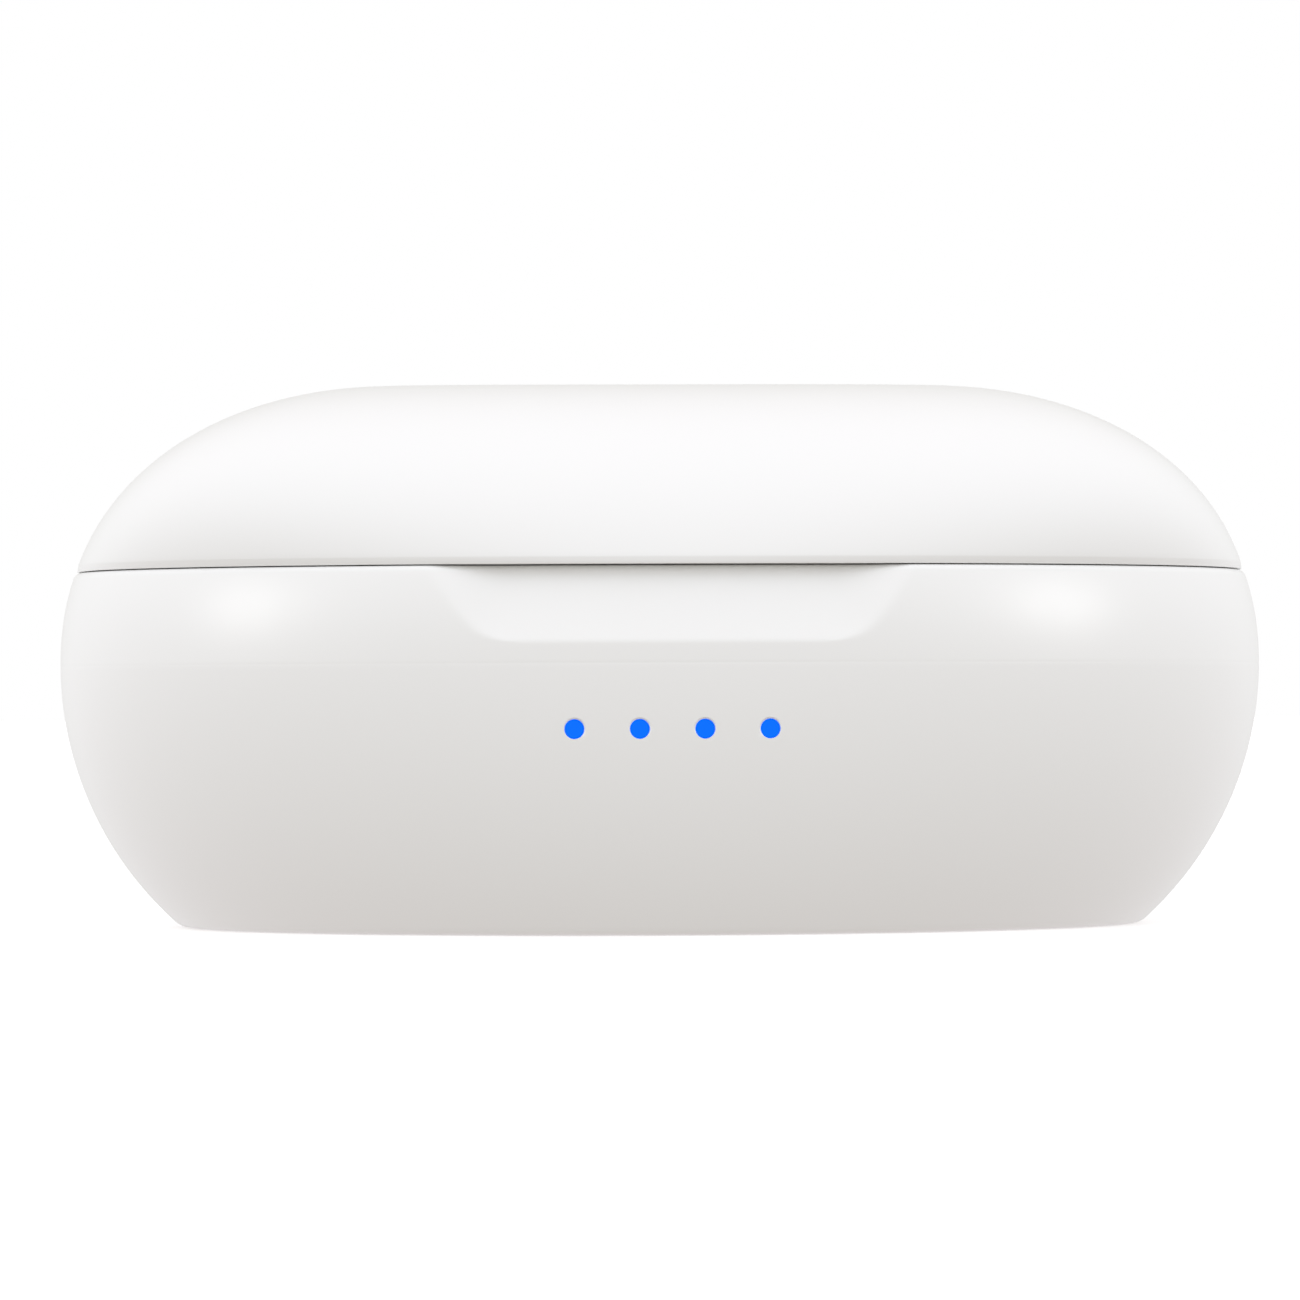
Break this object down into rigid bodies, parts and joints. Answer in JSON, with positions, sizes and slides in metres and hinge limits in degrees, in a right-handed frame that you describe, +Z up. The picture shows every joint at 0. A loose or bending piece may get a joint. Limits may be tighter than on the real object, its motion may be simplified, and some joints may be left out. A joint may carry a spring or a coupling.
{
  "type": "wireless earbuds case",
  "caption": "Oval glossy white clamshell charging case for two wireless earbuds, with a hinged lid, a thumb recess and a row of charge lights.",
  "frame": {"origin": "middle of the flat bottom, in the plane it stands on", "axes": "+Z up, -Y to the front with the thumb recess and charge lights, +X to the right seen from the front"},
  "size_m": [0.072, 0.036, 0.0323],
  "materials": {
    "magnet_nickel": "nickel-plated magnet",
    "white_plastic": "glossy white moulded plastic, polished",
    "cell_foil": "laminated foil pouch",
    "black_wire": "black wire insulation",
    "red_wire": "red wire insulation",
    "inner_plastic": "white moulded plastic, satin inside surfaces",
    "foam": "black foam and adhesive tape",
    "steel": "stainless steel",
    "chip": "black moulding compound",
    "led_body": "white light chip",
    "circuit_board": "green solder mask",
    "light_guide": "light guide, its windows lit blue",
    "contact_gold": "gold-plated brass"
  },
  "bodies": {
    "base": {"base_magnet_left": "magnet_nickel", "base_magnet_right": "magnet_nickel", "base_shell": "white_plastic", "battery_cell": "cell_foil", "battery_lead_black": "black_wire", "battery_lead_red": "red_wire", "battery_plug": "inner_plastic", "battery_tape": "foam", "board_foam": "foam", "board_screw_1": "steel", "board_screw_2": "steel", "board_screw_3": "steel", "board_screw_4": "steel", "bud_magnet_left": "magnet_nickel", "bud_magnet_right": "magnet_nickel", "charge_controller": "chip", "charge_light_1": "led_body", "charge_light_2": "led_body", "charge_light_3": "led_body", "charge_light_4": "led_body", "cradle_tray": "inner_plastic", "hinge_pin": "steel", "lid_sensor": "chip", "light_board": "circuit_board", "light_board_header": "chip", "light_guide": "light_guide", "main_board": "circuit_board", "pin_barrel_left_back": "contact_gold", "pin_barrel_left_front": "contact_gold", "pin_barrel_right_back": "contact_gold", "pin_barrel_right_front": "contact_gold", "pin_spring_left_back": "steel", "pin_spring_left_front": "steel", "pin_spring_right_back": "steel", "pin_spring_right_front": "steel", "port_shell": "steel", "port_tongue": "chip", "power_inductor": "chip", "supervisor_chip": "chip"},
    "lid": {"lid_shell": "white_plastic", "lid_liner": "inner_plastic", "lid_magnet_left": "magnet_nickel", "lid_magnet_right": "magnet_nickel"},
    "pin_plunger_left_back": {"pin_plunger_left_back": "contact_gold"},
    "pin_plunger_left_front": {"pin_plunger_left_front": "contact_gold"},
    "pin_plunger_right_back": {"pin_plunger_right_back": "contact_gold"},
    "pin_plunger_right_front": {"pin_plunger_right_front": "contact_gold"}
  },
  "joints": [
    {"name": "lid_hinge", "type": "hinge", "parent": "base", "child": "lid", "pos_m": [0, 0.017, 0.0212], "axis": [-1, 0, 0], "range_deg": [0, 100]},
    {"name": "pin_plunger_left_back_travel", "type": "slide", "parent": "base", "child": "pin_plunger_left_back", "axis": [0, 0, 1], "range_m": [-0.0008, 0], "stiffness_N_per_m": 400, "springref_m": 0.0005, "deforming": ["pin_spring_left_back"]},
    {"name": "pin_plunger_left_front_travel", "type": "slide", "parent": "base", "child": "pin_plunger_left_front", "axis": [0, 0, 1], "range_m": [-0.0008, 0], "stiffness_N_per_m": 400, "springref_m": 0.0005, "deforming": ["pin_spring_left_front"]},
    {"name": "pin_plunger_right_back_travel", "type": "slide", "parent": "base", "child": "pin_plunger_right_back", "axis": [0, 0, 1], "range_m": [-0.0008, 0], "stiffness_N_per_m": 400, "springref_m": 0.0005, "deforming": ["pin_spring_right_back"]},
    {"name": "pin_plunger_right_front_travel", "type": "slide", "parent": "base", "child": "pin_plunger_right_front", "axis": [0, 0, 1], "range_m": [-0.0008, 0], "stiffness_N_per_m": 400, "springref_m": 0.0005, "deforming": ["pin_spring_right_front"]}
  ]
}
